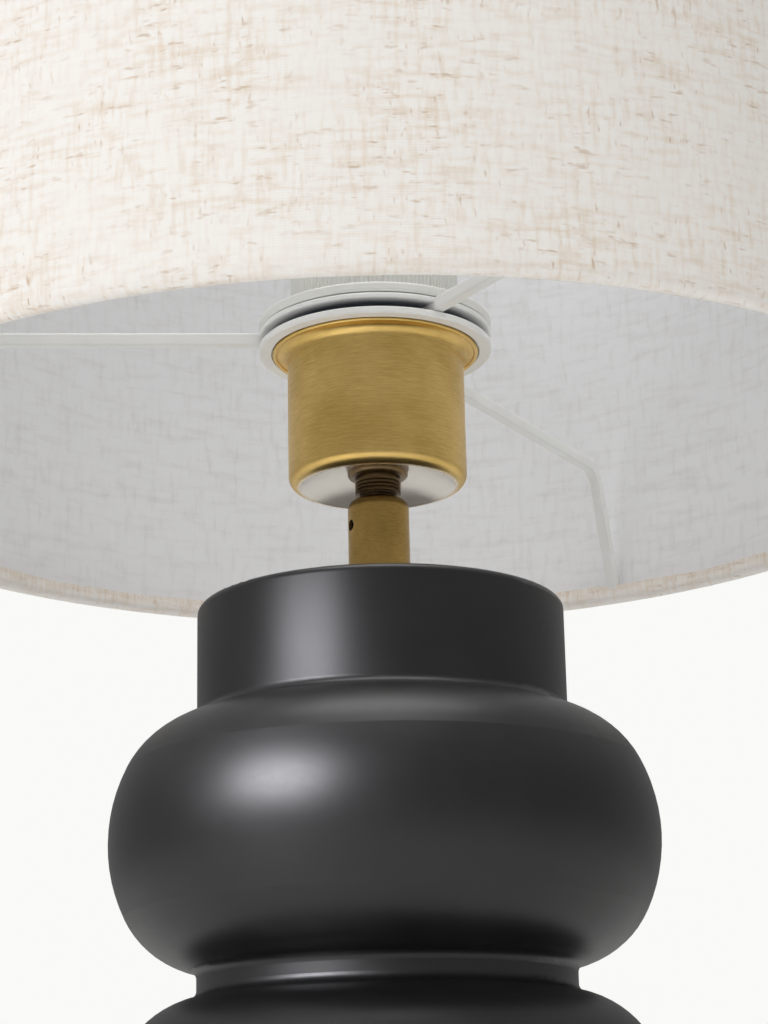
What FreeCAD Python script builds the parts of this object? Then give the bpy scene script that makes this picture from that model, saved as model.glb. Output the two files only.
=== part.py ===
"""Table lamp: a stacked-bulge ceramic stand, a brass lampholder cup and a linen drum shade.

Units are millimetres, +Z is up, and the origin is on the table under the lamp's axis.
Every separate piece is one node, written as parts/NODE.step.
"""
import FreeCAD, Part
import math
import os

V = FreeCAD.Vector
Z_AXIS = V(0, 0, 1)

# ---------------------------------------------------------------- driving dimensions
# ceramic stand
neck_r = 47.7            # neck and the two waists between the bulges
neck_edge_r = 2.0        # rounding of the neck's top edge
bulge_r = 70.0           # widest radius of a bulge
side_arc_r = 42.0        # flatter arc round a bulge's widest line
side_angle = 26.0        # half of that arc, in degrees
shoulder_arc_r = 24.1    # tighter arcs above and below it
bulge_count = 3
bulge_pitch = 70.1       # from one bulge's middle to the next
neck_over_bulge = 61.3   # from the top bulge's middle to the flat top of the neck
waist_fillet_r = 2.5
foot_r = 50.0
foot_top_z = 20.5
foot_edge_r = 1.5
wall = 6.0
foot_wall = 5.0
ledge_hole_r = 38.0
top_thick = 8.0
top_hole_r = 5.3

# underside
felt_thick = 2.5
felt_r = 49.0
board_thick = 2.0
plate_thick = 2.0
recess_gap = 0.3

# M10 parts
thread_r = 4.85
thread_bore_r = 4.92
wire_way_r = 3.2         # bore of the hollow rod and of the nipple
nut_across_flats = 14.0

# cord outlet
outlet_z = 11.5
outlet_hole_r = 5.2
outlet_bore_r = 3.4
outlet_flange_r = 7.0
outlet_flange_out = 1.8

# stem
stem_r = 8.1
stem_gap_to_rim = 3.3    # the stem's top is this far below the shade's lower edge
stem_shoulder_r = 3.0
grub_below_rim = 11.0
grub_angle = -155.0
grub_r = 1.45

# lampholder cup and what is under it, measured from the shade's lower edge
rim_over_neck = 33.0
cup_r = 23.7
cup_low = 0.3
cup_edge_r = 3.0
cup_dish = 5.0           # height of the domed underside
cup_flare_z = 34.5
cup_flare_r = 3.1
cup_lip_r = 27.6
cup_sheet = 0.8

# shade rings
ring_r = 31.4
holder_r = 19.9
holder_bore_r = 17.5
holder_top = 63.0
lower_ring_z = (37.9, 39.7)
lip_seat_r = 28.1        # step under the lower ring that takes the cup's lip
lip_seat_z = 38.75
spider_z = (40.0, 43.6)
spider_hub_r = 24.5
spider_rim_thick = 1.3
spider_bore_r = 20.6
upper_ring_z = (43.9, 46.6)
grip_r = 22.6
grip_top = 60.0
grip_ribs = 112
grip_rib_deep = 0.45

# shade
shade_r = 152.0
shade_height = 200.0
linen_thick = 0.6
lining_thick = 0.5
hoop_wire_r = 1.25
hem_inner_height = 5.3
arm_angles = {"left": 183.0, "front": -57.0, "rear": 60.0}
arm_tall = 3.5
arm_wide = 3.2
arm_z = 41.8
arm_bend_r = 137.5
arm_bend_round = 7.0
seam_angle = 0.0
seam_wide = 12.0

# bulb
cap_r = 13.15
shell_bore_r = 13.45
globe_r = 30.0
globe_sheet = 1.2

# ---------------------------------------------------------------- worked-out heights
side_centre_r = bulge_r - side_arc_r
shoulder_centre_r = side_centre_r + (side_arc_r - shoulder_arc_r) * math.cos(math.radians(side_angle))
shoulder_rise = (side_arc_r - shoulder_arc_r) * math.sin(math.radians(side_angle))


def fillet_over_shoulder(side_r):
    """Height from a shoulder arc's centre to the centre of the fillet that joins it to a straight side."""
    reach = shoulder_arc_r + waist_fillet_r
    return math.sqrt(reach ** 2 - (side_r + waist_fillet_r - shoulder_centre_r) ** 2)


low_bulge_z = foot_top_z + shoulder_rise + fillet_over_shoulder(foot_r)
bulge_z = [low_bulge_z + i * bulge_pitch for i in range(bulge_count)]
neck_top = bulge_z[-1] + neck_over_bulge
rim = neck_top + rim_over_neck
shade_top = rim + shade_height
stem_top = rim - stem_gap_to_rim

os.makedirs("parts", exist_ok=True)


# ---------------------------------------------------------------- helpers
def save(node, shape):
    """Write one node, and say how large it is."""
    shape.exportStep("parts/" + node + ".step")
    box = shape.BoundBox
    print("%-20s solids %d  z %.1f to %.1f  volume %.0f" % (
        node, len(shape.Solids), box.ZMin, box.ZMax, shape.Volume))


def rz(r, z):
    """A point of a turned outline: radius and height."""
    return V(r, 0, z)


def line(a, b):
    return Part.LineSegment(rz(*a), rz(*b)).toShape()


def arc(a, b, c):
    """The round stretch from a through b to c."""
    return Part.Arc(rz(*a), rz(*b), rz(*c)).toShape()


def arc_about(centre, radius, start_deg, end_deg):
    """A round stretch about a centre, between two angles measured from the radius direction."""
    def at(deg):
        turn = math.radians(deg)
        return (centre[0] + radius * math.cos(turn), centre[1] + radius * math.sin(turn))
    return arc(at(start_deg), at((start_deg + end_deg) / 2), at(end_deg))


def end_of(edge):
    point = edge.valueAt(edge.LastParameter)
    return (point.x, point.z)


def turned(edges):
    """A solid of revolution about the lamp's axis."""
    face = Part.Face(Part.Wire(Part.__sortEdges__(edges)))
    return Part.Solid(face.revolve(V(0, 0, 0), Z_AXIS, 360).Shells[0])


def turned_polygon(points):
    closed = points + [points[0]]
    return turned([line(a, b) for a, b in zip(closed, closed[1:])])


def disc(radius, z_low, z_high):
    return Part.makeCylinder(radius, z_high - z_low, V(0, 0, z_low))


def tube(r_out, r_in, z_low, z_high):
    return disc(r_out, z_low, z_high).cut(disc(r_in, z_low - 1, z_high + 1))


def round_rims(shape, radius, spots):
    """Round the circular edges that lie at the given radius and height."""
    chosen = []
    for edge in shape.Edges:
        if not isinstance(edge.Curve, Part.Circle):
            continue
        for r, z in spots:
            if abs(edge.Curve.Radius - r) < 0.02 and abs(edge.Curve.Center.z - z) < 0.02:
                chosen.append(edge)
    return shape.makeFillet(radius, chosen)


def hexagon(across_flats, z_low, z_high):
    corner_r = across_flats / math.sqrt(3)
    corners = [V(corner_r * math.cos(math.radians(60 * i)), corner_r * math.sin(math.radians(60 * i)), z_low)
               for i in range(7)]
    return Part.Face(Part.makePolygon(corners)).extrude(V(0, 0, z_high - z_low))


def hex_nut(z_low, z_high):
    """A nut with its corners turned off at 30 degrees."""
    corner_r = nut_across_flats / math.sqrt(3)
    drop = (corner_r - nut_across_flats / 2) * math.tan(math.radians(30))
    cone = turned_polygon([(0, z_low), (nut_across_flats / 2, z_low), (corner_r, z_low + drop),
                           (corner_r, z_high - drop), (nut_across_flats / 2, z_high), (0, z_high)])
    nut = hexagon(nut_across_flats, z_low, z_high).common(cone)
    return nut.cut(disc(thread_bore_r, z_low - 1, z_high + 1))


def about_axis(shape, degrees):
    """A copy turned about the lamp's axis."""
    copy = shape.copy()
    copy.rotate(V(0, 0, 0), Z_AXIS, degrees)
    return copy


def ringed(shape, radius, deep, z_list, wide):
    """Cut rings of V-shaped thread groove round a turned piece."""
    for z in z_list:
        groove = turned_polygon([(radius - deep, z), (radius + 0.5, z - wide / 2 - 0.1),
                                 (radius + 0.5, z + wide / 2 + 0.1)])
        shape = shape.cut(groove)
    return shape


# ---------------------------------------------------------------- ceramic stand
def bulge_outline(inset, floor_side_r, floor_z, ceiling_z):
    """The stacked outline from the floor up to the ceiling, drawn inwards by the wall's thickness.

    Each bulge is a flat side arc between two tighter shoulder arcs; small fillets join it to the straight sides.
    """
    edges = []
    here = (floor_side_r, floor_z)
    fillet = waist_fillet_r + inset
    for i, middle_z in enumerate(bulge_z):
        below_r = foot_r if i == 0 else neck_r
        rise = fillet_over_shoulder(below_r)
        meet = math.degrees(math.atan2(rise, below_r + waist_fillet_r - shoulder_centre_r))
        low_shoulder = (shoulder_centre_r, middle_z - shoulder_rise)
        if i == 0 and inset > 0:
            meet = 90
        else:
            low_fillet = (below_r + waist_fillet_r, low_shoulder[1] - rise)
            edges.append(line(here, (below_r - inset, low_fillet[1])))
            edges.append(arc_about(low_fillet, fillet, 180, 180 - meet))
        edges.append(arc_about(low_shoulder, shoulder_arc_r - inset, -meet, -side_angle))
        edges.append(arc_about((side_centre_r, middle_z), side_arc_r - inset, -side_angle, side_angle))
        rise = fillet_over_shoulder(neck_r)
        meet = math.degrees(math.atan2(rise, neck_r + waist_fillet_r - shoulder_centre_r))
        high_shoulder = (shoulder_centre_r, middle_z + shoulder_rise)
        high_fillet = (neck_r + waist_fillet_r, high_shoulder[1] + rise)
        edges.append(arc_about(high_shoulder, shoulder_arc_r - inset, side_angle, meet))
        edges.append(arc_about(high_fillet, fillet, 180 + meet, 180))
        here = end_of(edges[-1])
    edges.append(line(here, (neck_r - inset, ceiling_z)))
    return edges


def make_ceramic():
    outside = bulge_outline(0.0, foot_r, felt_thick, neck_top)
    outside.append(line((neck_r, neck_top), (0, neck_top)))
    outside.append(line((0, neck_top), (0, felt_thick)))
    outside.append(line((0, felt_thick), (foot_r, felt_thick)))
    body = turned(outside)
    body = round_rims(body, neck_edge_r, [(neck_r, neck_top)])
    body = round_rims(body, foot_edge_r, [(foot_r, felt_thick)])
    floor_z = low_bulge_z - shoulder_rise - (shoulder_arc_r - wall)
    ceiling_z = neck_top - top_thick
    inside = bulge_outline(wall, shoulder_centre_r, floor_z, ceiling_z)
    inside.append(line((neck_r - wall, ceiling_z), (0, ceiling_z)))
    inside.append(line((0, ceiling_z), (0, floor_z)))
    inside.append(line((0, floor_z), (shoulder_centre_r, floor_z)))
    body = body.cut(turned(inside))
    body = body.cut(disc(ledge_hole_r, foot_top_z - 1, floor_z + 1))
    body = body.cut(disc(foot_r - foot_wall, felt_thick - 1, foot_top_z))
    body = body.cut(disc(top_hole_r, ceiling_z - 1, neck_top + 1))
    outlet = Part.makeCylinder(outlet_hole_r, 20, V(0, foot_r - 12, outlet_z), V(0, 1, 0))
    return body.cut(outlet)


recess_r = foot_r - foot_wall - recess_gap
plate_low = foot_top_z - plate_thick
washer_low = plate_low - 1.0
nut_low = washer_low - 4.0
rod_low = nut_low - 1.0
stem_low = neck_top + 1.0
rod_high = neck_top + 12.0

save("ceramic_body", make_ceramic())
save("felt_pad", disc(felt_r, 0, felt_thick))
save("bottom_board", disc(recess_r, felt_thick, felt_thick + board_thick))


# ---------------------------------------------------------------- tie rod and bottom plate
def make_bottom_plate():
    """A steel disc with a hole for the rod and four lightening holes."""
    plate = disc(recess_r, plate_low, foot_top_z).cut(disc(thread_bore_r, plate_low - 1, foot_top_z + 1))
    for i in range(4):
        turn = math.radians(45 + 90 * i)
        spot = V(24 * math.cos(turn), 24 * math.sin(turn), plate_low - 1)
        hole = Part.makeCylinder(6.0, plate_thick + 2, spot)
        plate = plate.cut(hole)
    return plate


save("bottom_plate", make_bottom_plate())
save("bottom_washer", tube(10.0, thread_bore_r, washer_low, plate_low))
save("bottom_nut", hex_nut(nut_low, washer_low))
save("threaded_rod", tube(thread_r, wire_way_r, rod_low, rod_high))
save("stem_washer", tube(9.5, thread_bore_r, neck_top, stem_low))


# ---------------------------------------------------------------- cord outlet
def make_outlet_bush():
    """A flanged bush: its flange sits on the round foot, its threaded neck goes through the wall."""
    flange = Part.makeCylinder(outlet_flange_r, 12, V(0, foot_r - 10, outlet_z), V(0, 1, 0))
    flange = flange.common(disc(foot_r + outlet_flange_out, 0, 40)).cut(disc(foot_r, 0, 40))
    neck = Part.makeCylinder(outlet_hole_r - 0.1, 14, V(0, foot_r - 13, outlet_z), V(0, 1, 0))
    neck = neck.common(disc(foot_r + 0.5, 0, 40))
    bush = flange.fuse(neck)
    bore = Part.makeCylinder(outlet_bore_r, 30, V(0, foot_r - 20, outlet_z), V(0, 1, 0))
    return bush.cut(bore).removeSplitter()


def make_outlet_nut():
    """The ring nut on the inside of the wall, clear of the round wall at its corners."""
    seat_y = math.sqrt((foot_r - foot_wall) ** 2 - 7.0 ** 2) - 0.05
    ring = Part.makeCylinder(7.0, 3.5, V(0, seat_y - 3.5, outlet_z), V(0, 1, 0))
    return ring.cut(Part.makeCylinder(outlet_hole_r, 8, V(0, seat_y - 6, outlet_z), V(0, 1, 0)))


save("cord_outlet_bush", make_outlet_bush())
save("cord_outlet_nut", make_outlet_nut())


# ---------------------------------------------------------------- stem
def make_stem():
    stem = tube(stem_r, thread_bore_r, stem_low, stem_top)
    stem = round_rims(stem, stem_shoulder_r - 0.2, [(stem_r, stem_top)])
    turn = math.radians(grub_angle)
    hole = Part.makeCylinder(grub_r + 0.05, 14, V(0, 0, rim - grub_below_rim),
                             V(math.cos(turn), math.sin(turn), 0))
    return stem.cut(hole)


def make_grub_screw():
    """A small set screw with a hexagon socket, stopping just short of the nipple."""
    screw = Part.makeCylinder(grub_r, 2.4, V(0, 0, 0), Z_AXIS)
    screw = screw.cut(hexagon(1.5, 1.0, 3.0))
    screw.rotate(V(0, 0, 0), V(0, 1, 0), 90)
    screw.translate(V(thread_r + 0.3, 0, rim - grub_below_rim))
    return about_axis(screw, grub_angle)


save("stem_tube", make_stem())
save("stem_grub_screw", make_grub_screw())


# ---------------------------------------------------------------- nipple, collar, bush and cup
def make_nipple():
    """The hollow M10 nipple that carries the whole head."""
    nipple = tube(thread_r, wire_way_r, neck_top + 14.5, rim + 15.0)
    return ringed(nipple, thread_r, 0.4, [rim - 3.1, rim - 2.4], 0.6)


def make_collar():
    collar = tube(6.05, thread_bore_r, rim - 1.9, rim + 1.9)
    return ringed(collar, 6.05, 0.35, [rim - 1.0, rim, rim + 1.0], 0.6)


def make_cup_bush():
    """The turned bush under the cup: a short neck and a full round flange."""
    return turned([
        line((thread_bore_r, rim + 1.9), (5.4, rim + 1.9)),
        line((5.4, rim + 1.9), (5.4, rim + 2.5)),
        line((5.4, rim + 2.5), (6.6, rim + 2.5)),
        arc((6.6, rim + 2.5), (7.75, rim + 3.1), (8.0, rim + 4.3)),
        line((8.0, rim + 4.3), (8.0, rim + 4.55)),
        line((8.0, rim + 4.55), (thread_bore_r, rim + 4.95)),
        line((thread_bore_r, rim + 4.95), (thread_bore_r, rim + 1.9)),
    ])


def dome(r, height):
    """Height of the cup's domed underside at a radius, with its crown at the given height."""
    edge_r = cup_r - cup_edge_r
    sphere_r = (edge_r ** 2 + cup_dish ** 2) / (2 * cup_dish)
    return height - (sphere_r - math.sqrt(sphere_r ** 2 - r ** 2))


def make_cup():
    """The spun brass cup: domed underside, straight side, flared and beaded lip."""
    edge_r = cup_r - cup_edge_r
    crown = rim + cup_low + cup_dish
    hole = thread_bore_r
    middle = (hole + edge_r) / 2
    low = rim + cup_low
    sheet = cup_sheet
    flare = (cup_r + cup_flare_r, rim + cup_flare_z)
    lip_low = rim + cup_flare_z + cup_flare_r
    shell = turned([
        arc((hole, dome(hole, crown)), (middle, dome(middle, crown)), (edge_r, low)),
        arc_about((edge_r, low + cup_edge_r), cup_edge_r, -90, 0),
        line((cup_r, low + cup_edge_r), (cup_r, flare[1])),
        arc_about(flare, cup_flare_r, 180, 90),
        line((flare[0], lip_low), (cup_lip_r, lip_low)),
        line((cup_lip_r, lip_low), (cup_lip_r, lip_low + sheet)),
        line((cup_lip_r, lip_low + sheet), (flare[0], lip_low + sheet)),
        arc_about(flare, cup_flare_r + sheet, 90, 180),
        line((cup_r - sheet, flare[1]), (cup_r - sheet, low + cup_edge_r)),
        arc_about((edge_r, low + cup_edge_r), cup_edge_r - sheet, 0, -90),
        arc((edge_r, low + sheet), (middle, dome(middle, crown) + sheet), (hole, dome(hole, crown) + sheet)),
        line((hole, dome(hole, crown) + sheet), (hole, dome(hole, crown))),
    ])
    bead = Part.makeTorus(cup_lip_r - 0.5, 0.65, V(0, 0, lip_low + 0.15))
    return shell.fuse(bead).removeSplitter()


cup_nut_low = rim + cup_low + cup_dish + cup_sheet + 0.1

save("head_nipple", make_nipple())
save("locking_collar", make_collar())
save("cup_bush", make_cup_bush())
save("lampholder_cup", make_cup())
save("cup_nut", hex_nut(cup_nut_low, cup_nut_low + 3.0))


# ---------------------------------------------------------------- lampholder
cap_low = cup_nut_low + 3.1
cap_high = rim + 21.0
carrier_low = rim + 16.0
carrier_high = rim + 30.0


def make_holder_cap():
    """The lampholder's lower cap: a floor with the nipple's hole, and a wall that takes the body."""
    return turned_polygon([(thread_bore_r, cap_low), (19.0, cap_low), (20.6, cap_low + 2.0), (20.6, cap_high),
                           (18.4, cap_high), (18.4, cap_low + 2.5), (thread_bore_r, cap_low + 2.5)])


def make_holder_body():
    """The threaded outer body: a spigot in the cap, and the long sleeve that the shade rings screw on."""
    body = turned_polygon([(16.6, cap_low + 2.6), (18.3, cap_low + 2.6), (18.3, cap_high + 0.1),
                           (holder_r, cap_high + 0.1), (holder_r, rim + holder_top - 1.0),
                           (holder_r - 0.8, rim + holder_top), (16.6, rim + holder_top),
                           (16.6, rim + holder_top - 2.0), (holder_bore_r, rim + holder_top - 3.0),
                           (holder_bore_r, carrier_high), (16.6, carrier_high)])
    pitch = 2.5
    grooves = [lower_ring_z[1] + rim + 2.0 + pitch * i for i in range(8)]
    return ringed(body, holder_r, 0.8, grooves, 1.4)


def make_carrier():
    """The insulating core that holds the contacts, with two screw holes from below."""
    core = disc(16.5, carrier_low, carrier_high)
    for side in (-1, 1):
        core = core.cut(Part.makeCylinder(1.75, 9.0, V(10 * side, 0, carrier_low - 0.5)))
    return core


def make_screw_shell():
    return turned_polygon([(11.0, carrier_high), (shell_bore_r + 0.5, carrier_high),
                           (shell_bore_r + 0.5, rim + 54.0), (shell_bore_r, rim + 54.0),
                           (shell_bore_r, carrier_high + 0.5), (11.0, carrier_high + 0.5)])


def make_centre_contact():
    """A sprung tongue that rises from the core to just under the bulb's tip."""
    rise = 1.15
    points = [(-9, 0), (-2.5, 0), (-1.5, rise), (3, rise),
              (3, rise + 0.5), (-1.8, rise + 0.5), (-2.9, 0.5), (-9, 0.5)]
    corners = [V(x, -2.5, carrier_high + z) for x, z in points]
    return Part.Face(Part.makePolygon(corners + corners[:1])).extrude(V(0, 5, 0))


def make_contact_screws():
    """Two slotted terminal screws under the core."""
    screws = []
    for side in (-1, 1):
        head = Part.makeCylinder(3.0, 1.8, V(10 * side, 0, carrier_low - 1.8))
        shank = Part.makeCylinder(1.7, 8.0, V(10 * side, 0, carrier_low - 0.5))
        slot = Part.makeBox(8, 0.8, 0.8, V(10 * side - 4, -0.4, carrier_low - 1.9))
        screws.append(head.fuse(shank).cut(slot).removeSplitter())
    return Part.makeCompound(screws)


save("lampholder_cap", make_holder_cap())
save("lampholder_body", make_holder_body())
save("contact_core", make_carrier())
save("screw_shell", make_screw_shell())
save("centre_contact", make_centre_contact())
save("contact_screws", make_contact_screws())


# ---------------------------------------------------------------- shade rings
def make_lower_ring():
    """The white ring that closes the cup and carries the shade, with a step underneath for the cup's lip."""
    low, high = [rim + z for z in lower_ring_z]
    seat = rim + lip_seat_z
    return turned_polygon([(holder_r + 0.02, seat), (lip_seat_r, seat), (lip_seat_r, low), (ring_r - 0.4, low),
                           (ring_r, low + 0.4), (ring_r, high - 0.3), (ring_r - 0.3, high),
                           (holder_r + 0.02, high)])


def make_upper_ring():
    """The clamp ring: a flat flange and a ribbed grip, turned by hand on the threaded body."""
    low, high = [rim + z for z in upper_ring_z]
    flange = round_rims(disc(ring_r, low, high), 0.8, [(ring_r, low), (ring_r, high)])
    corners = []
    for i in range(grip_ribs):
        for share, deep in ((0.0, grip_rib_deep), (0.2, 0), (0.5, 0), (0.7, grip_rib_deep)):
            r = grip_r - deep
            turn = 2 * math.pi * (i + share) / grip_ribs
            corners.append(V(r * math.cos(turn), r * math.sin(turn), high - 0.1))
    grip = Part.Face(Part.makePolygon(corners + corners[:1])).extrude(V(0, 0, rim + grip_top - high + 0.1))
    return flange.fuse(grip).cut(disc(holder_r + 0.08, low - 1, rim + grip_top + 1)).removeSplitter()


save("lower_shade_ring", make_lower_ring())
save("clamp_ring", make_upper_ring())


# ---------------------------------------------------------------- shade frame
hoop_r = shade_r - linen_thick - lining_thick - hoop_wire_r - 0.05
hem_round = shade_r - hoop_r
hoop_low_z = rim + hem_round
hoop_high_z = shade_top - hem_round
hoop_low = Part.makeTorus(hoop_r, hoop_wire_r, V(0, 0, hoop_low_z))
hoop_high = Part.makeTorus(hoop_r, hoop_wire_r, V(0, 0, hoop_high_z))


def make_spider_ring():
    """The frame's middle ring: a hub in the gap between the clamp rings, under a wide thin rim."""
    low, high = [rim + z for z in spider_z]
    under = high - spider_rim_thick
    return turned([
        line((spider_bore_r, low), (spider_hub_r, low)),
        line((spider_hub_r, low), (spider_hub_r, under - 1.0)),
        arc_about((spider_hub_r + 1.0, under - 1.0), 1.0, 180, 90),
        line((spider_hub_r + 1.0, under), (ring_r - 0.5, under)),
        arc((ring_r - 0.5, under), (ring_r, (under + high) / 2), (ring_r - 0.5, high)),
        line((ring_r - 0.5, high), (spider_bore_r, high)),
        line((spider_bore_r, high), (spider_bore_r, low)),
    ])


def make_arm(angle, hub):
    """A flat bar: level from the hub, then bent down and out to the lower hoop."""
    bend = V(arm_bend_r, 0, rim + arm_z)
    foot = V(hoop_r, 0, hoop_low_z)
    down = (foot - bend).normalize()
    turn = math.atan2(-down.z, down.x)
    setback = arm_bend_round * math.tan(turn / 2)
    centre = (arm_bend_r - setback, rim + arm_z - arm_bend_round)
    half = arm_tall / 2
    side = V(-down.z, 0, down.x) * half
    sweep_end = 90 - math.degrees(turn)
    upper = arc_about(centre, arm_bend_round + half, 90, sweep_end)
    lower = arc_about(centre, arm_bend_round - half, 90, sweep_end)
    foot_up = foot + side
    foot_low = foot - side
    start_r = spider_hub_r - 1.0
    edges = [
        line((start_r, rim + arm_z - half), (start_r, rim + arm_z + half)),
        line((start_r, rim + arm_z + half), (centre[0], rim + arm_z + half)),
        upper,
        line(end_of(upper), (foot_up.x, foot_up.z)),
        line((foot_up.x, foot_up.z), (foot_low.x, foot_low.z)),
        line((foot_low.x, foot_low.z), end_of(lower)),
        lower,
        line((centre[0], rim + arm_z - half), (start_r, rim + arm_z - half)),
    ]
    face = Part.Face(Part.Wire(Part.__sortEdges__(edges)))
    face.translate(V(0, -arm_wide / 2, 0))
    bar = face.extrude(V(0, arm_wide, 0))
    long_edges = [e for e in bar.Edges if abs(e.BoundBox.YLength) < 0.01 and e.Length > 5]
    bar = bar.makeFillet(0.55, long_edges)
    return about_axis(bar, angle).cut(hub).cut(hoop_low)


spider_ring = make_spider_ring()
arms = {name: make_arm(angle, spider_ring) for name, angle in arm_angles.items()}
save("spider_ring", spider_ring)
for arm_name, arm in arms.items():
    save("spider_arm_" + arm_name, arm)
save("lower_hoop", hoop_low)
save("upper_hoop", hoop_high)


# ---------------------------------------------------------------- shade cover
def make_hem(end_z, up):
    """Linen folded round a hoop: a half-round fold and a short band inside. up is 1 at the lower end."""
    middle_z = end_z + up * hem_round
    inner_fold = hem_round - linen_thick
    band_r = hoop_r - hem_round
    band_z = end_z + up * hem_inner_height
    hem = turned([
        arc((shade_r, middle_z), (hoop_r, end_z), (band_r, middle_z)),
        line((band_r, middle_z), (band_r, band_z)),
        line((band_r, band_z), (band_r + linen_thick, band_z)),
        line((band_r + linen_thick, band_z), (band_r + linen_thick, middle_z)),
        arc((band_r + linen_thick, middle_z), (hoop_r, middle_z - up * inner_fold),
            (hoop_r + inner_fold, middle_z)),
        line((hoop_r + inner_fold, middle_z), (shade_r, middle_z)),
    ])
    for arm in arms.values():
        hem = hem.cut(arm)
    return hem


def make_seam_strip():
    """The glued strip behind the lining's upright joint."""
    outer = shade_r - linen_thick - lining_thick
    strip = tube(outer, outer - 0.4, hoop_low_z + 6.0, hoop_high_z - 6.0)
    block = Part.makeBox(20, seam_wide, shade_height, V(outer - 10, -seam_wide / 2, rim))
    return about_axis(strip.common(block), seam_angle)


linen_in = shade_r - linen_thick
save("shade_linen", tube(shade_r, linen_in, hoop_low_z, hoop_high_z))
save("shade_lining", tube(linen_in, linen_in - lining_thick, hoop_low_z, hoop_high_z))
save("lower_hem", make_hem(rim, 1))
save("upper_hem", make_hem(shade_top, -1))
save("lining_seam_strip", make_seam_strip())

# ---------------------------------------------------------------- bulb
tip_z = rim + 32.0
globe_z = rim + 110.0
housing_top_r = 27.5
housing_top_z = globe_z - math.sqrt(globe_r ** 2 - housing_top_r ** 2)
board_low = housing_top_z - 1.2


def make_bulb_cap():
    """The screw cap as a smooth sleeve with rounded thread rings."""
    low = tip_z + 4.5
    cap = tube(cap_r - 0.5, cap_r - 1.1, low, tip_z + 26.0)
    for i in range(6):
        cap = cap.fuse(Part.makeTorus(cap_r - 0.65, 0.6, V(0, 0, low + 2.5 + 3.6 * i)))
    return cap.cut(disc(cap_r - 1.1, low - 1, tip_z + 27.0)).removeSplitter()


def make_insulator():
    """The glass foot between the cap and the tip."""
    return turned_polygon([(4.4, tip_z + 0.6), (12.0, tip_z + 4.5), (12.0, tip_z + 6.5), (0, tip_z + 6.5),
                           (0, tip_z + 1.4), (4.4, tip_z + 1.4)])


def make_housing():
    """The heat-spreading housing: a hollow flared cone with a shelf for the light board."""
    low = tip_z + 26.0
    flare = Part.BSplineCurve()
    flare.interpolate([rz(14.2, low), rz(15.4, low + 9), rz(20.5, low + 22),
                       rz(housing_top_r, housing_top_z)])
    outer = [flare.toShape(), line((housing_top_r, housing_top_z), (0, housing_top_z)),
             line((0, housing_top_z), (0, low)), line((0, low), (14.2, low))]
    hollow_flare = Part.BSplineCurve()
    hollow_top = board_low - 2.0
    hollow_flare.interpolate([rz(12.0, low - 0.01), rz(13.4, low + 9), rz(18.2, low + 22),
                              rz(23.5, hollow_top)])
    hollow = [hollow_flare.toShape(), line((23.5, hollow_top), (0, hollow_top)),
              line((0, hollow_top), (0, low - 0.01)), line((0, low - 0.01), (12.0, low - 0.01))]
    return turned(outer).cut(turned(hollow)).cut(disc(25.0, board_low, housing_top_z + 1))


def make_globe():
    """The opal globe: a hollow ball, open where it meets the housing."""
    middle = V(0, 0, globe_z)
    ball = Part.makeSphere(globe_r, middle).cut(Part.makeSphere(globe_r - globe_sheet, middle))
    return ball.cut(disc(globe_r + 1, globe_z - globe_r - 1, housing_top_z))


def make_light_board():
    board = disc(24.8, board_low, board_low + 1.0)
    for i in range(8):
        turn = math.radians(45 * i)
        chip = Part.makeBox(3, 3, 0.8, V(-1.5, -1.5, board_low + 0.9))
        chip.translate(V(16 * math.cos(turn), 16 * math.sin(turn), 0))
        board = board.fuse(chip)
    return board.removeSplitter()


save("bulb_cap", make_bulb_cap())
save("bulb_insulator", make_insulator())
save("bulb_tip", turned([arc((0, tip_z), (3.2, tip_z + 0.35), (4.3, tip_z + 1.3)),
                         line((4.3, tip_z + 1.3), (0, tip_z + 1.3)), line((0, tip_z + 1.3), (0, tip_z))]))
save("bulb_housing", make_housing())
save("bulb_globe", make_globe())
save("light_board", make_light_board())
save("driver_board", Part.makeBox(18, 1.6, 26, V(-9, -0.8, tip_z + 28.0)))

print("neck top %.2f  shade rim %.2f  shade top %.2f" % (neck_top, rim, shade_top))
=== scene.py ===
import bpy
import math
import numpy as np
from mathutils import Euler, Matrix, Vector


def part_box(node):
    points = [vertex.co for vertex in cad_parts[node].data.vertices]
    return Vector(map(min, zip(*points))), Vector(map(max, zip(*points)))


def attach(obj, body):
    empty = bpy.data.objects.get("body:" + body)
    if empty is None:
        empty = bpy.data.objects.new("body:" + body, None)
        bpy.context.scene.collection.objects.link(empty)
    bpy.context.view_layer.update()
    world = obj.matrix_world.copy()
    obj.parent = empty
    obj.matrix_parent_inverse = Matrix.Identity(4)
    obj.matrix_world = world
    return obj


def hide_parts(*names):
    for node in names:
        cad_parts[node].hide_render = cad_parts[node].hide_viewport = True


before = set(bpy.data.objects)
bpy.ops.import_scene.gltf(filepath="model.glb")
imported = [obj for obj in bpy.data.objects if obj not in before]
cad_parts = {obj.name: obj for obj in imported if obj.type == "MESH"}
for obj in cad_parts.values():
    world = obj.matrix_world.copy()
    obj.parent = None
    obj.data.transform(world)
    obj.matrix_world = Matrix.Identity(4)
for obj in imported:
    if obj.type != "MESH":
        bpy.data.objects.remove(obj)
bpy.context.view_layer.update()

# %% [markdown]
# This lesson dresses a table lamp: a stacked ceramic stand, a brushed brass lampholder cup and a linen
# drum shade. The hard parts come from the CAD frame, so every size below is read from it, in metres. What
# the frame cannot give is the cloth, the lining film and the way each surface takes the light.

MM = 0.001
TURN = 2 * math.pi

rim_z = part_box("lower_hem")[0].z
crown_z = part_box("upper_hem")[1].z
shade_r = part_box("shade_linen")[1].x
neck_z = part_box("ceramic_body")[1].z
print("shade from %.4f to %.4f, radius %.4f, neck top %.4f" % (rim_z, crown_z, shade_r, neck_z))

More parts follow.
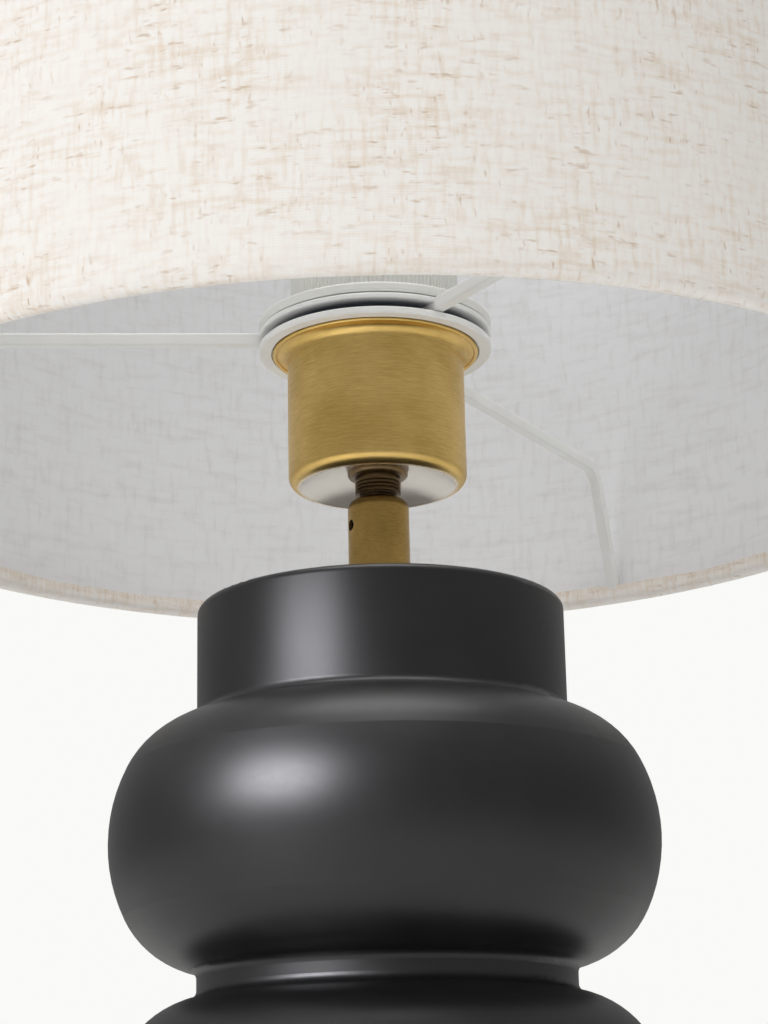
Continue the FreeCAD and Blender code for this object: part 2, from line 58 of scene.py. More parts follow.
# %% [markdown]
# The camera stands low and close in front of the lamp and looks up under the shade, as a person sees it
# who kneels beside the table. The lens is a short telephoto, so the drum's lower rim opens as a wide
# ellipse while the stand keeps its true outline.

# %% Camera
EYE_DISTANCE = 0.602
EYE_BELOW_RIM = 0.1846
LOOK_UP = math.radians(16.48)
LEAN = math.radians(-1.15)
LOOK_ASIDE = math.radians(-0.14)
LENS = 83.4

bpy.ops.object.select_all(action="DESELECT")
bpy.ops.object.camera_add(location=(0, -EYE_DISTANCE, rim_z - EYE_BELOW_RIM))
camera = bpy.context.object
camera.name = "camera"
camera.data.lens = LENS
camera.data.sensor_width = 36
aim = Euler((math.pi / 2 + LOOK_UP, 0, LOOK_ASIDE)).to_matrix() @ Euler((0, 0, LEAN)).to_matrix()
camera.rotation_euler = aim.to_euler()
bpy.context.scene.camera = camera
print("camera at", tuple(round(c, 4) for c in camera.location))

# %% [markdown]
# The lamp stands in a pale studio on a white floor.

# %% The floor
FLOOR_SIZE = 12.0


def plain_material(name, colour, roughness):
    """A material with only its shader set, for the studio."""
    material = bpy.data.materials.new(name)
    material.use_nodes = True
    shader = material.node_tree.nodes["Principled BSDF"]
    shader.inputs["Base Color"].default_value = (*colour, 1)
    shader.inputs["Roughness"].default_value = roughness
    return material


bpy.ops.mesh.primitive_plane_add(size=FLOOR_SIZE, location=(0, 0, 0))
floor = bpy.context.object
floor.name = "studio_floor"
floor.data.materials.append(plain_material("studio_white", (0.86, 0.86, 0.85), 0.6))

# %% [markdown]
# A dark satin glaze mirrors whatever stands round it, so the surround is made in two strengths: a bright
# one that the lens sees behind the lamp, and a softer one that lights the surfaces. An image of a studio
# could do this too, but two plain backgrounds and a switch need no file. The softer one fades a little
# towards the back and is brighter overhead, where a real room has its ceiling.

# %% The surround
scene = bpy.context.scene
scene.view_settings.view_transform = "Standard"
scene.view_settings.look = "None"
world = bpy.data.worlds.new("studio_surround")
scene.world = world
world.use_nodes = True
sky = world.node_tree
sky.nodes.clear()
direction = sky.nodes.new("ShaderNodeTexCoord")
axes = sky.nodes.new("ShaderNodeSeparateXYZ")
sky.links.new(direction.outputs["Generated"], axes.inputs[0])


def fade(axis, start, end, from_strength, to_strength):
    """A strength that changes along one axis of the surround."""
    node = sky.nodes.new("ShaderNodeMapRange")
    node.inputs["From Min"].default_value = start
    node.inputs["From Max"].default_value = end
    node.inputs["To Min"].default_value = from_strength
    node.inputs["To Max"].default_value = to_strength
    sky.links.new(axes.outputs[axis], node.inputs["Value"])
    return node.outputs[0]


def background(colour):
    """A background of one colour."""
    node = sky.nodes.new("ShaderNodeBackground")
    node.inputs["Color"].default_value = (*colour, 1)
    return node


seen = background((0.95, 0.95, 0.93))
lighting = background((1.0, 0.998, 0.992))
strength = sky.nodes.new("ShaderNodeMath")
strength.operation = "ADD"
sky.links.new(fade("Y", -0.7, 0.6, 0.33, 0.30), strength.inputs[0])
sky.links.new(fade("Z", 0.35, 0.9, 0.0, 0.2), strength.inputs[1])
sky.links.new(strength.outputs[0], lighting.inputs["Strength"])
ray = sky.nodes.new("ShaderNodeLightPath")
choice = sky.nodes.new("ShaderNodeMixShader")
surround = sky.nodes.new("ShaderNodeOutputWorld")
sky.links.new(ray.outputs["Is Camera Ray"], choice.inputs[0])
sky.links.new(lighting.outputs[0], choice.inputs[1])
sky.links.new(seen.outputs[0], choice.inputs[2])
sky.links.new(choice.outputs[0], surround.inputs["Surface"])
print("surround with", len(sky.nodes), "nodes")

# %% [markdown]
# Three soft boxes: two at the front left and a wide one overhead. A single box at the front left would
# either burn out the white linen or leave the black glaze without its bright spot. So there the work is
# shared: the key box lights only matt surfaces, and the sheen box shows only as a reflection, which falls
# on the upper bulge.

# %% The soft boxes
BOX_DISTANCE = 1.5


def soft_box(name, place, target, size, power):
    """A large area lamp turned to face a point."""
    bpy.ops.object.light_add(type="AREA", location=place)
    lamp = bpy.context.object
    lamp.name = name
    lamp.data.shape = "RECTANGLE"
    lamp.data.size, lamp.data.size_y = size
    lamp.data.energy = power
    toward = Vector(target) - Vector(place)
    lamp.rotation_euler = toward.to_track_quat("-Z", "Y").to_euler()
    print(name, "at", tuple(round(c, 3) for c in place))
    return lamp


bulge_spot = Vector((-0.022, -0.066, neck_z - 0.055))
key_place = bulge_spot + BOX_DISTANCE * Vector((-0.68, -0.69, 0.22))
key_box = soft_box("key_lamp", key_place, bulge_spot, (0.9, 0.8), 6.1)
key_box.visible_glossy = False
sheen_place = bulge_spot + BOX_DISTANCE * Vector((-0.641, -0.641, 0.423))
sheen_box = soft_box("sheen_lamp", sheen_place, bulge_spot, (0.86, 0.52), 40)
sheen_box.visible_diffuse = False
sheen_box.data.color = (0.94, 0.94, 1.0)
soft_box("top_lamp", (0.0, -0.5, 2.6), (0, 0, rim_z), (2.0, 1.6), 40)

# %% [markdown]
# Every finish below is built from nodes. Adding and linking them one by one makes long, dull code, so a
# small class holds a material while it is built, and each of its methods adds one node with its values
# set. The last method gives the three numbers that a turned part is measured by: the angle round the
# lamp's axis, the distance from it and the height.

# %% Helpers for materials


class Finish:
    """A material under construction."""

    def __init__(self, name):
        self.material = bpy.data.materials.new(name)
        self.material.use_nodes = True
        self.nodes = self.material.node_tree.nodes
        self.links = self.material.node_tree.links
        self.shader = self.nodes["Principled BSDF"]

    def link(self, source, target):
        self.links.new(source, target)

    def set(self, **values):
        """Fixed values on the shader's own sockets."""
        for key, value in values.items():
            socket = self.shader.inputs[key.replace("_", " ")]
            socket.default_value = (*value, 1) if isinstance(value, tuple) else value

    def place(self):
        """Object coordinates, in metres."""
        return self.nodes.new("ShaderNodeTexCoord").outputs["Object"]

    def cloth_place(self):
        """The piece's own UV map, in metres along the cloth."""
        return self.nodes.new("ShaderNodeTexCoord").outputs["UV"]

    def math(self, operation, first, second=0.0):
        node = self.nodes.new("ShaderNodeMath")
        node.operation = operation
        for i, value in enumerate((first, second)):
            if isinstance(value, (int, float)):
                node.inputs[i].default_value = value
            else:
                self.link(value, node.inputs[i])
        return node.outputs[0]

    def split(self, vector):
        node = self.nodes.new("ShaderNodeSeparateXYZ")
        self.link(vector, node.inputs[0])
        return node.outputs

    def join(self, x, y=0.0, z=0.0):
        node = self.nodes.new("ShaderNodeCombineXYZ")
        for i, value in enumerate((x, y, z)):
            if isinstance(value, (int, float)):
                node.inputs[i].default_value = value
            else:
                self.link(value, node.inputs[i])
        return node.outputs[0]

    def noise(self, vector, scale, detail=2.0, rough=0.5):
        node = self.nodes.new("ShaderNodeTexNoise")
        node.inputs["Scale"].default_value = scale
        node.inputs["Detail"].default_value = detail
        node.inputs["Roughness"].default_value = rough
        self.link(vector, node.inputs["Vector"])
        return node.outputs["Fac"]

    def span(self, value, low, high, to_low=0.0, to_high=1.0):
        """Maps a range of values onto another, held at both ends."""
        node = self.nodes.new("ShaderNodeMapRange")
        node.interpolation_type = "SMOOTHSTEP"
        for key, number in (("From Min", low), ("From Max", high), ("To Min", to_low), ("To Max", to_high)):
            node.inputs[key].default_value = number
        self.link(value, node.inputs["Value"])
        return node.outputs["Result"]

    def mix(self, share, first, second):
        """Blends two colours by a share."""
        node = self.nodes.new("ShaderNodeMix")
        node.data_type = "RGBA"
        if isinstance(share, (int, float)):
            node.inputs[0].default_value = share
        else:
            self.link(share, node.inputs[0])
        for index, colour in ((6, first), (7, second)):
            if isinstance(colour, tuple):
                node.inputs[index].default_value = (*colour, 1)
            else:
                self.link(colour, node.inputs[index])
        return node.outputs[2]

    def bump(self, height, distance, strength=1.0, under=None):
        """Relief from a height value, on top of another relief if one is given."""
        node = self.nodes.new("ShaderNodeBump")
        node.inputs["Strength"].default_value = strength
        node.inputs["Distance"].default_value = distance
        self.link(height, node.inputs["Height"])
        if under is not None:
            self.link(under, node.inputs["Normal"])
        return node.outputs["Normal"]

    def colour(self, socket):
        self.link(socket, self.shader.inputs["Base Color"])

    def roughness(self, socket):
        self.link(socket, self.shader.inputs["Roughness"])

    def relief(self, socket):
        self.link(socket, self.shader.inputs["Normal"])

    def round_axis(self):
        """The angle round the lamp's axis with its join at the back, the radius and the height."""
        x, y, z = self.split(self.place())[:3]
        angle = self.math("ARCTAN2", x, self.math("MULTIPLY", y, -1.0))
        radius = self.math("SQRT", self.math("ADD", self.math("POWER", x, 2.0), self.math("POWER", y, 2.0)))
        return angle, radius, z


def dress(finish, *names):
    """Gives a finish to CAD nodes."""
    for name in names:
        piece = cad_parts[name]
        piece.data.materials.clear()
        piece.data.materials.append(finish.material)
    print(finish.material.name, "on", ", ".join(names))


# %% [markdown]
# The stand is slip-cast stoneware under a satin near-black glaze. Such a glaze is never one flat black:
# it breaks a little lighter and drier in places, and its surface has a faint ripple from the spray. A
# coarse noise drives the colour and the sheen, a fine one adds specks, and a very small relief softens
# the reflections as real glaze does.

# %% Black satin glaze
glaze = Finish("black_satin_glaze")
glaze.set(Specular_IOR_Level=0.5)
spot = glaze.place()
cloud = glaze.noise(spot, 35, 4, 0.55)
speck = glaze.noise(spot, 900, 2, 0.5)
glaze.colour(glaze.mix(glaze.span(cloud, 0.35, 0.7), (0.0062, 0.0062, 0.0070), (0.0105, 0.0102, 0.0106)))
satin = glaze.span(cloud, 0.3, 0.7, 0.37, 0.40)
glaze.roughness(glaze.math("ADD", satin, glaze.span(speck, 0.4, 0.7, 0.0, 0.02)))
ripple = glaze.bump(glaze.noise(spot, 45, 1), 0.0006, 0.12)
glaze.relief(glaze.bump(speck, 0.00002, 0.2, ripple))
dress(glaze, "ceramic_body")

# %% [markdown]
# The brass parts are turned, then brushed while they spin, so the scratches run round the axis. The
# finish is browned and then brushed back. The scratches could be drawn as rings, but real ones are short
# and uneven, so the pattern is a noise that is long along the angle and very narrow along the height and
# the radius. The cup's bottom isn't brushed: it is smooth and lacquered. Inside the cup's edge its pale
# cream colour, with less metal, is a painted reflection of the white floor mirrored in it.

# %% Brushed brass
SCRATCHES = 7600          # across the brushing, in cells per metre
SCRATCH_RELIEF = 0.06 * MM
CUP_EDGE_R = 21.5 * MM
CUP_EDGE_Z = rim_z + 6.5 * MM


def brushed_brass(name, bright, dark, roughness, floor_reflection_colour=None):
    """Scratches round the axis and, if its colour is given, a painted reflection of the white floor on the
    cup's bottom.
    """
    brass = Finish(name)
    brass.set(Metallic=1.0, Anisotropic=0.55)
    angle, radius, height = brass.round_axis()
    across = brass.math("MULTIPLY", brass.math("ADD", height, radius), SCRATCHES)
    fine_place = brass.join(brass.math("MULTIPLY", angle, 7.0), across)
    long_place = brass.join(brass.math("MULTIPLY", angle, 3.0), brass.math("MULTIPLY", across, 0.42))
    fine = brass.noise(fine_place, 1.0, 3, 0.6)
    long = brass.noise(long_place, 1.0, 2)
    patina = brass.noise(brass.place(), 70, 3)
    streak = brass.math("ADD", brass.math("MULTIPLY", fine, 0.6), brass.math("MULTIPLY", long, 0.4))
    brushed_back = brass.span(streak, 0.3, 0.7, 0.1, 0.65)
    tone = brass.math("ADD", brushed_back, brass.span(patina, 0.3, 0.7, -0.1, 0.25))
    colour = brass.mix(tone, dark, bright)
    rough = brass.span(streak, 0.3, 0.7, roughness + 0.05, roughness - 0.04)
    # Inside the cup's edge: painted reflection of the white floor, a pale cream with less metal.
    if floor_reflection_colour is not None:
        inside = brass.span(radius, CUP_EDGE_R - 1.5 * MM, CUP_EDGE_R + 0.5 * MM, 1.0, 0.0)
        low = brass.span(height, CUP_EDGE_Z, CUP_EDGE_Z + 1.0 * MM, 1.0, 0.0)
        smooth = brass.math("MULTIPLY", inside, low)
        colour = brass.mix(smooth, colour, floor_reflection_colour)
        rough = brass.math("SUBTRACT", rough, brass.math("MULTIPLY", smooth, roughness - 0.14))
        metallic = brass.math("SUBTRACT", 1.0, brass.math("MULTIPLY", smooth, 0.5))
        brass.link(metallic, brass.shader.inputs["Metallic"])
    brass.colour(colour)
    brass.roughness(rough)
    brass.relief(brass.bump(streak, SCRATCH_RELIEF, 0.5))
    return brass


# The last colour, pale cream, is a painted reflection of the white floor on the cup's bottom.
dress(brushed_brass("brushed_brass", (0.92, 0.645, 0.24), (0.54, 0.35, 0.09), 0.31, (1.0, 0.94, 0.85)),
      "lampholder_cup")
dress(brushed_brass("stem_brass", (0.58, 0.38, 0.12), (0.30, 0.185, 0.05), 0.32), "stem_tube")
dress(brushed_brass("dark_bronze", (0.26, 0.175, 0.085), (0.10, 0.068, 0.035), 0.30),
      "cup_bush", "locking_collar")

# %% [markdown]
# The wire frame and the rings have a coat of powder paint: warm white, satin, with the faint orange peel
# of a baked coat. The clamp ring and the lampholder are moulded in white plastic, which is duller, with a
# finer grain. Both are one recipe with other numbers, and so are the small coated parts further down.

# %% White paint and white mouldings
PAINT_WHITE = (0.88, 0.88, 0.855)
PAINT_SHADE = (0.84, 0.84, 0.815)


def coated(name, colour, shade, roughness, grain):
    """A coat with soft clouds of a second colour and a fine peel."""
    coat = Finish(name)
    spot = coat.place()
    coat.colour(coat.mix(coat.span(coat.noise(spot, 55, 3), 0.3, 0.7), colour, shade))
    peel = coat.noise(spot, grain, 2)
    coat.roughness(coat.span(peel, 0.3, 0.7, roughness - 0.04, roughness + 0.05))
    coat.relief(coat.bump(peel, 0.00005, 0.4))
    return coat


dress(coated("white_powder_paint", PAINT_WHITE, PAINT_SHADE, 0.36, 1400),
      "spider_arm_left", "spider_arm_front", "spider_arm_rear",
      "lower_hoop", "upper_hoop", "lower_shade_ring")
dress(coated("white_moulding", (0.83, 0.83, 0.79), (0.79, 0.79, 0.75), 0.5, 2200),
      "clamp_ring", "lampholder_body", "lampholder_cap", "bulb_housing")

# %% [markdown]
# The middle ring, which carries the arms, is squeezed between the two clamping rings. Its hub lies deep
# in the gap between them, and the shade there is painted: the coat turns to a bluish dark grey towards the
# axis.

# %% Painted shade on the middle ring's hub
SHADED_HUB_R = 26.5 * MM
UNSHADED_PAINT_R = 31.2 * MM
PAINTED_HUB_SHADE = (0.13, 0.14, 0.17)

hub_shade_paint = coated("white_paint_painted_hub_shade", PAINT_WHITE, PAINT_SHADE, 0.36, 1400)
hub_radius = hub_shade_paint.round_axis()[1]
painted = hub_shade_paint.shader.inputs["Base Color"].links[0].from_socket
# Towards the axis the white turns to a bluish dark grey: painted shade in the gap between the clamping rings.
hub_shade_paint.colour(hub_shade_paint.mix(hub_shade_paint.span(hub_radius, SHADED_HUB_R, UNSHADED_PAINT_R), PAINTED_HUB_SHADE, painted))
dress(hub_shade_paint, "spider_ring")

# %% [markdown]
# The small parts get honest finishes as well, because they show when the lamp is turned over or taken
# apart: zinc-plated steel, bronzed threads, contact brass, nylon, rubber, porcelain and the bulb's own
# parts. The metals share one recipe, a patchy colour with a roughness that follows the patches.

# %% Small parts


def metal(name, colour, shade, roughness, grain):
    """A metal in patches of two colours."""
    steel = Finish(name)
    steel.set(Metallic=1.0)
    spot = steel.place()
    patch = steel.noise(spot, grain, 4, 0.6)
    steel.colour(steel.mix(steel.span(patch, 0.3, 0.7), colour, shade))
    steel.roughness(steel.span(patch, 0.3, 0.7, roughness - 0.06, roughness + 0.08))
    steel.relief(steel.bump(steel.noise(spot, grain * 12, 2), 0.00003, 0.3))
    return steel


dress(metal("zinc_plate", (0.60, 0.60, 0.60), (0.48, 0.49, 0.51), 0.34, 130),
      "bottom_plate", "bottom_washer", "bottom_nut", "threaded_rod", "cup_nut")
dress(metal("bronzed_thread", (0.14, 0.095, 0.05), (0.08, 0.055, 0.035), 0.4, 200),
      "head_nipple", "stem_grub_screw")
dress(metal("contact_brass", (0.62, 0.46, 0.20), (0.50, 0.36, 0.15), 0.28, 160),
      "screw_shell", "centre_contact", "contact_screws")
dress(metal("cap_metal", (0.70, 0.70, 0.70), (0.60, 0.60, 0.61), 0.26, 150), "bulb_cap")
dress(metal("tip_solder", (0.58, 0.58, 0.60), (0.45, 0.45, 0.47), 0.35, 400), "bulb_tip")
dress(coated("black_nylon", (0.020, 0.020, 0.021), (0.030, 0.030, 0.030), 0.45, 1800),
      "cord_outlet_bush", "cord_outlet_nut", "bulb_insulator")
dress(coated("black_rubber", (0.018, 0.018, 0.018), (0.028, 0.028, 0.028), 0.7, 1500), "stem_washer")
dress(coated("porcelain", (0.78, 0.76, 0.70), (0.72, 0.70, 0.64), 0.55, 2600), "contact_core")
dress(coated("white_solder_mask", (0.80, 0.80, 0.77), (0.74, 0.74, 0.71), 0.4, 900), "light_board")
dress(coated("green_solder_mask", (0.03, 0.17, 0.07), (0.02, 0.12, 0.05), 0.35, 900), "driver_board")

# %% [markdown]
# The bulb's globe is opal plastic. Letting light through it would cost time and show nothing while the
# lamp is off, so it is a milky white surface with soft clouds and a satin gloss.

# %% Opal globe
opal = Finish("opal_globe")
opal.set(IOR=1.45)
opal_cloud = opal.noise(opal.place(), 45, 3)
opal.colour(opal.mix(opal.span(opal_cloud, 0.3, 0.7), (0.88, 0.88, 0.86), (0.83, 0.83, 0.82)))
opal.roughness(opal.span(opal_cloud, 0.3, 0.7, 0.30, 0.38))
dress(opal, "bulb_globe")

# %% [markdown]
# Felt and fibreboard are fibrous: a fine noise for the nap, and a coarser one for the uneven pressing.

# %% Felt and board


def fibrous(name, colour, shade, roughness):
    """A pressed mat of fibres."""
    mat = Finish(name)
    spot = mat.place()
    nap = mat.noise(spot, 1500, 5, 0.75)
    press = mat.noise(spot, 140, 3)
    mat.colour(mat.mix(mat.span(mat.math("ADD", nap, press), 0.8, 1.25), colour, shade))
    mat.set(Roughness=roughness, Sheen_Weight=0.25)
    mat.relief(mat.bump(nap, 0.0004, 0.7))
    return mat


dress(fibrous("black_felt", (0.022, 0.022, 0.024), (0.055, 0.055, 0.058), 0.95), "felt_pad")
dress(fibrous("fibreboard", (0.30, 0.22, 0.15), (0.42, 0.33, 0.23), 0.85), "bottom_board")

# %% [markdown]
# The shade is a drum of slub linen laminated on a clear film. The cloth is one strip: it runs up the
# outside, and at both ends it is folded round a wire hoop and glued down as a narrow band inside. It
# could be made as a plain cylinder, but then the folded edges would look cut with a knife. So the strip's
# section is drawn point by point and spun round the axis, which keeps the threads of the cloth running
# through the folds.

# %% A helper that spins an outline


def turned(name, outline, steps, angle=TURN):
    """Spins an outline of (radius, height) points round the lamp's axis, all the way or by an angle."""
    bpy.ops.object.select_all(action="DESELECT")
    radius, height = outline[0]
    bpy.ops.mesh.primitive_plane_add(size=MM, location=(radius, 0, height))
    bpy.ops.object.transform_apply(location=True)
    piece = bpy.context.object
    piece.name = name
    bpy.ops.object.mode_set(mode="EDIT")
    bpy.ops.mesh.select_all(action="SELECT")
    bpy.ops.mesh.merge(type="CENTER")
    for (r0, z0), (r1, z1) in zip(outline, outline[1:]):
        bpy.ops.mesh.extrude_region_move(TRANSFORM_OT_translate={"value": (r1 - r0, 0, z1 - z0)})
    bpy.ops.mesh.select_all(action="SELECT")
    closed = angle == TURN
    bpy.ops.mesh.spin(steps=steps, angle=angle, center=(0, 0, 0), axis=(0, 0, 1), use_auto_merge=closed)
    bpy.ops.mesh.select_all(action="SELECT")
    bpy.ops.mesh.remove_doubles(threshold=1e-6)
    bpy.ops.mesh.normals_make_consistent(inside=False)
    bpy.ops.object.mode_set(mode="OBJECT")
    bpy.ops.object.shade_smooth()
    while piece.data.uv_layers:
        piece.data.uv_layers.remove(piece.data.uv_layers[0])
    print(name, len(piece.data.polygons), "faces")
    return piece


# %% [markdown]
# The strip's outline has two kinds of stretch: round ones at the folds and straight ones between them.
# The round ones have a dozen points each. The long straight one has rows as well, because the cloth
# swells a little later.

# %% The linen strip
FOLD_R = 2.4 * MM
BAND = 5.3 * MM
FOLD_ROWS = 12
BAND_ROWS = 3
CLOTH_STEPS = 360
CLOTH_ROWS = 64


def arc(centre, radius, start, end):
    """Points of a round stretch without its first one, from one angle to another, in degrees."""
    turns = [math.radians(start + (end - start) * i / FOLD_ROWS) for i in range(1, FOLD_ROWS + 1)]
    return [(centre[0] + radius * math.cos(turn), centre[1] + radius * math.sin(turn)) for turn in turns]


def straight(start, end, count):
    """Points of a straight stretch without its first one."""
    return [(start[0] + (end[0] - start[0]) * i / count, start[1] + (end[1] - start[1]) * i / count)
            for i in range(1, count + 1)]


fold_low = (shade_r - FOLD_R, rim_z + FOLD_R)
fold_high = (shade_r - FOLD_R, crown_z - FOLD_R)
band_r = shade_r - 2 * FOLD_R
strip = [(band_r, rim_z + BAND)]
strip += straight(strip[-1], (band_r, fold_low[1]), BAND_ROWS)
strip += arc(fold_low, FOLD_R, 180, 360)
strip += straight((shade_r, fold_low[1]), (shade_r, fold_high[1]), CLOTH_ROWS)
strip += arc(fold_high, FOLD_R, 0, 180)
strip += straight((band_r, fold_high[1]), (band_r, crown_z - BAND), BAND_ROWS)
linen = turned("linen_cover", strip, CLOTH_STEPS)

# %% [markdown]
# The weave has to follow the cloth through its folds, so the strip gets a map of its own in metres: one
# way round the drum, the other way along the section. An unwrap could not know the true lengths, so the
# map is worked out from the outline: each point of the mesh takes the length along the outline of the
# point that it was spun from.

# %% The cloth's own map


def lengths_along(outline):
    """The length along an outline up to each of its points."""
    lengths = [0.0]
    for (r0, z0), (r1, z1) in zip(outline, outline[1:]):
        lengths.append(lengths[-1] + math.hypot(r1 - r0, z1 - z0))
    return lengths


def lay_cloth_map(piece, outline):
    """Gives a spun strip its map, with no face torn where the angle starts again."""
    mesh = piece.data
    place = np.empty(len(mesh.vertices) * 3)
    mesh.vertices.foreach_get("co", place)
    x, y, z = place.reshape(-1, 3).T
    radius = np.hypot(x, y)
    section = np.array(outline)
    nearest = [np.argmin((section[:, 0] - r) ** 2 + (section[:, 1] - h) ** 2) for r, h in zip(radius, z)]
    along = np.array(lengths_along(outline))[nearest]
    angle = np.arctan2(y, x) % TURN
    corner = np.empty(len(mesh.loops), int)
    mesh.loops.foreach_get("vertex_index", corner)
    uv = np.stack([angle[corner], along[corner]], 1)
    for face in mesh.polygons:
        turns = uv[face.loop_start:face.loop_start + face.loop_total, 0]
        if turns.max() - turns.min() > math.pi:
            turns[turns < math.pi] += TURN
    uv[:, 0] *= shade_r
    layer = mesh.uv_layers.new(name="cloth")
    layer.data.foreach_set("uv", uv.ravel())
    print(piece.name, "map up to %.4f m long" % along.max())


strip_length = lengths_along(strip)[-1]
lay_cloth_map(linen, strip)

# %% [markdown]
# Stretched cloth on a real drum is almost true, but not quite: it swells a tenth of a millimetre between
# the hoops, and its cut edge inside wanders by a little more. Proportional editing by hand would be as
# good once, but sums of sines give the same cloth each time. Only then does the sheet get its thickness,
# inwards, so that the outside keeps its size.

# %% Small unevenness of the cloth, and its thickness
LINEN = 0.45 * MM
EDGE_WANDER = 0.28 * MM
WAVES = 0.12 * MM
RIPPLES = 0.08 * MM
HOOP_SAG = 0.10 * MM
CREASE = math.radians(40)


def ease_cloth(piece):
    """Moves each point of a sheet by the small faults of stretched cloth."""
    middle = (rim_z + crown_z) / 2
    for vertex in piece.data.vertices:
        x, y, z = vertex.co
        radius = math.hypot(x, y)
        angle = math.atan2(y, x)
        wander = math.sin(5 * angle + 1.3) + 0.6 * math.sin(13 * angle + 0.4) + 0.5 * math.sin(29 * angle)
        if radius < shade_r - 1.9 * FOLD_R:
            if z < middle:
                vertex.co.z += EDGE_WANDER * wander * max(0.0, (z - fold_low[1]) / (BAND - FOLD_R))
            else:
                vertex.co.z -= EDGE_WANDER * wander * max(0.0, (fold_high[1] - z) / (BAND - FOLD_R))
            continue
        share = min(1.0, max(0.0, (z - rim_z) / (crown_z - rim_z)))
        belly = math.sin(math.pi * share)
        outwards = belly * WAVES * math.sin(4 * angle + 0.7) + RIPPLES * math.sin(11 * angle + 5 * share)
        outwards += HOOP_SAG * wander * (1 - belly)
        vertex.co.x += outwards * x / radius
        vertex.co.y += outwards * y / radius
    piece.data.update()


def thicken(piece, thickness):
    """Gives a spun sheet its wall, inwards, and smooths it except at its cut edges."""
    wall = piece.modifiers.new("wall", "SOLIDIFY")
    wall.thickness = thickness
    wall.offset = -1.0
    wall.use_even_offset = True
    bpy.ops.object.select_all(action="DESELECT")
    piece.select_set(True)
    bpy.context.view_layer.objects.active = piece
    bpy.ops.object.modifier_apply(modifier="wall")
    bpy.ops.object.shade_smooth_by_angle(angle=CREASE)
    print(piece.name, "wall %.2f mm" % (thickness / MM))


ease_cloth(linen)
thicken(linen, LINEN)

# %% [markdown]
# Slub linen is woven from yarn of uneven thickness, so short tan stretches lie along both directions of
# the cloth. Each direction is a noise that is long along the yarn and narrow across it. Most of it is
# faint; only its peaks are the brown slubs. Both directions are crossed, and the fine even weave lies
# over them. Towards its raw edges inside the drum the cloth turns browner.

# %% Slub linen
WARP_PITCH = 0.5 * MM
WEFT_PITCH = 0.62 * MM
RAW_EDGE = 4.5 * MM
WEAVE_RELIEF = 0.09 * MM


def yarn(cloth, along, across, length, width, seed, detail=3):
    """A noise drawn out along the yarn."""
    place = cloth.join(cloth.math("DIVIDE", along, length), cloth.math("DIVIDE", across, width), seed)
    return cloth.noise(place, 1.0, detail, 0.62)


def slub_linen(name, light, tan, brown):
    """Pale cloth with tan yarns, brown slubs and a browner raw edge."""
    cloth = Finish(name)
    u, v, _ = cloth.split(cloth.cloth_place())[:3]
    weft = yarn(cloth, u, v, 9 * MM, 1.7 * MM, 3.7)
    warp = yarn(cloth, v, u, 8 * MM, 1.5 * MM, 9.1)
    weft_slub = yarn(cloth, u, v, 5.5 * MM, 1.6 * MM, 21.3, 2)
    warp_slub = yarn(cloth, v, u, 4.5 * MM, 1.5 * MM, 33.9, 2)
    cluster = cloth.noise(cloth.join(u, v), 42, 3, 0.6)
    faint = cloth.math("ADD", cloth.span(weft, 0.42, 0.74, 0.0, 0.6), cloth.span(warp, 0.42, 0.74, 0.0, 0.55))
    faint = cloth.math("MULTIPLY", faint, cloth.span(cluster, 0.3, 0.66, 0.4, 1.15))
    strong = cloth.math("MAXIMUM", cloth.span(weft_slub, 0.60, 0.75), cloth.span(warp_slub, 0.62, 0.77))
    strong = cloth.math("MULTIPLY", strong, cloth.span(cluster, 0.35, 0.62, 0.3, 1.0))
    near_low = cloth.span(v, 0.3 * MM, RAW_EDGE, 1.0, 0.0)
    near_high = cloth.span(v, strip_length - RAW_EDGE, strip_length - 0.3 * MM)
    near_edge = cloth.math("MAXIMUM", near_low, near_high)
    edge = cloth.math("MULTIPLY", near_edge, cloth.span(warp, 0.36, 0.6, 0.45, 1.0))
    thread = cloth.math("SINE", cloth.math("MULTIPLY", u, TURN / WARP_PITCH))
    pick = cloth.math("SINE", cloth.math("MULTIPLY", v, TURN / WEFT_PITCH))
    tone = cloth.mix(faint, light, tan)
    tone = cloth.mix(cloth.math("MULTIPLY", strong, 0.8), tone, brown)
    tone = cloth.mix(cloth.math("MULTIPLY", edge, 0.55), tone, cloth.mix(faint, tan, brown))
    tone = cloth.mix(cloth.span(cloth.math("MULTIPLY", thread, pick), -1.0, 1.0, 0.0, 0.2), tone, tan)
    cloth.colour(tone)
    cloth.set(Roughness=0.9, Sheen_Weight=0.1, Sheen_Roughness=0.5)
    weave = cloth.math("ADD", cloth.math("MULTIPLY", thread, 0.4), cloth.math("MULTIPLY", pick, 0.3))
    height = cloth.math("ADD", weave, cloth.math("ADD", faint, cloth.math("MULTIPLY", strong, 1.5)))
    cloth.relief(cloth.bump(height, WEAVE_RELIEF, 0.4))
    return cloth


linen_cloth = slub_linen("slub_linen", (0.925, 0.90, 0.868), (0.80, 0.69, 0.575), (0.57, 0.40, 0.255))
linen.data.materials.append(linen_cloth.material)
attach(linen, "shade")
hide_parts("shade_linen", "lower_hem", "upper_hem")

# %% [markdown]
# The strip's two ends meet in an upright lap: the outer end is glued over the other for about a finger's
# width. A dark line drawn on the cloth would look flat, so the lap is a piece of its own. It has the same
# upright outline, a little further out, and is spun by a small angle only. Its map is the linen's own, so
# the weave runs on.

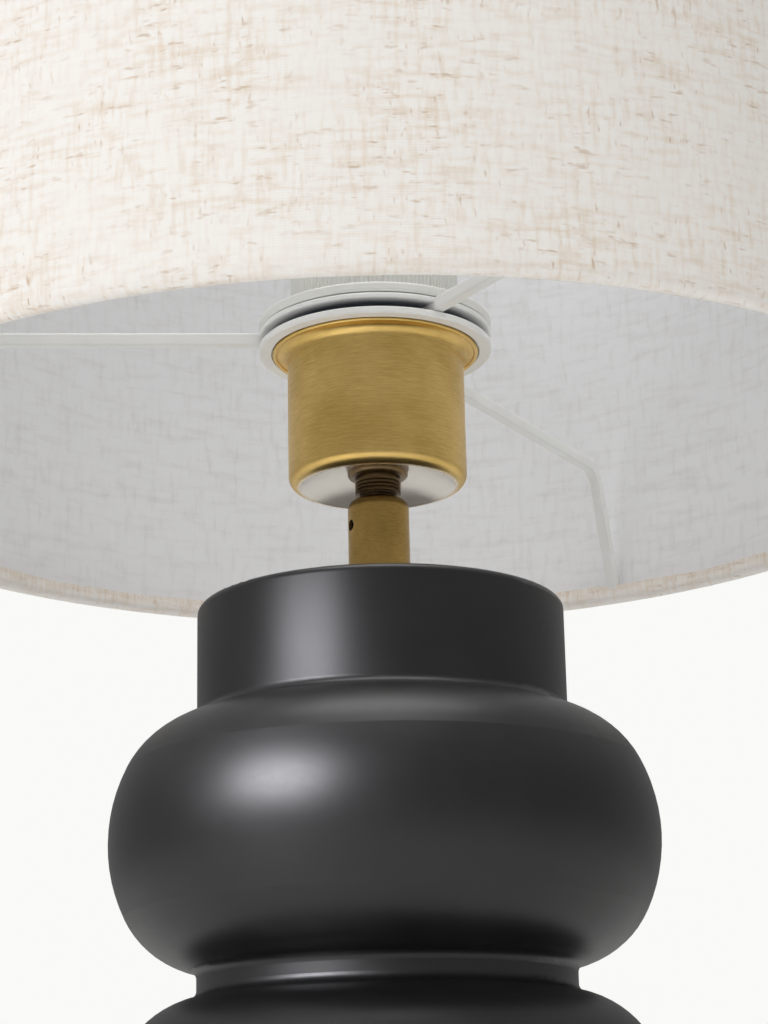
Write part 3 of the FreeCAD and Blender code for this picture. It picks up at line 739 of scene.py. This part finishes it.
# %% The lap of the linen
LAP_WIDE = 12 * MM
LAP_OUT = 0.3 * MM
LAP_ROWS = 40
LAP_STEPS = 6
lap_line = [(shade_r + LAP_OUT, fold_low[1])]
lap_line += straight(lap_line[0], (shade_r + LAP_OUT, fold_high[1]), LAP_ROWS)
lap = turned("linen_lap", lap_line, LAP_STEPS, LAP_WIDE / shade_r)
lay_cloth_map(lap, lap_line)
ease_cloth(lap)
thicken(lap, LAP_OUT + 0.15 * MM)
lap.data.materials.append(linen_cloth.material)
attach(lap, "shade")

# %% [markdown]
# Inside, the film that stiffens the drum faces the bulb. It is pale grey and smooth. Where light passes
# through the drum, the linen's slubs behind the film show as darker marks. This film lets no light
# through, so that shade is painted on it as a soft, faint pattern from the same kind of map with less
# contrast. It stops short of both folds, and it is spun from a straight outline.

# %% The lining film
FILM = 0.4 * MM
LINING_ROWS = 24
lining_r = shade_r - LINEN - FILM - 0.15 * MM
lining_line = [(lining_r, fold_low[1] + 0.2 * MM)]
lining_line += straight(lining_line[0], (lining_r, fold_high[1] - 0.2 * MM), LINING_ROWS)
lining = turned("lining_film", lining_line, CLOTH_STEPS)
lay_cloth_map(lining, lining_line)
thicken(lining, FILM)


def ghosted_film(name, pale, grey):
    """A smooth film with the painted shade of the cloth's slubs behind it, as a faint pattern."""
    film = Finish(name)
    u, v, _ = film.split(film.cloth_place())[:3]
    weft = yarn(film, u, v, 14 * MM, 2.6 * MM, 3.7)
    warp = yarn(film, v, u, 11 * MM, 2.4 * MM, 9.1)
    haze = film.noise(film.join(u, v), 160, 3, 0.6)
    # Painted shade of the slubs, as they show against light passing through the drum.
    painted_slub_shade = film.math("ADD", film.span(weft, 0.45, 0.72, 0.0, 0.7), film.span(warp, 0.47, 0.72, 0.0, 0.7))
    painted_slub_shade = film.math("MULTIPLY", painted_slub_shade, film.span(haze, 0.3, 0.7, 0.5, 1.0))
    film.colour(film.mix(painted_slub_shade, pale, grey))
    film.roughness(film.span(haze, 0.3, 0.7, 0.5, 0.6))
    film.relief(film.bump(haze, 0.0001, 0.3))
    return film


lining.data.materials.append(ghosted_film("lining_film", (0.85, 0.85, 0.86), (0.75, 0.745, 0.735)).material)
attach(lining, "shade")
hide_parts("shade_lining")
dress(coated("joint_tape", (0.76, 0.76, 0.76), (0.71, 0.71, 0.70), 0.5, 900), "lining_seam_strip")
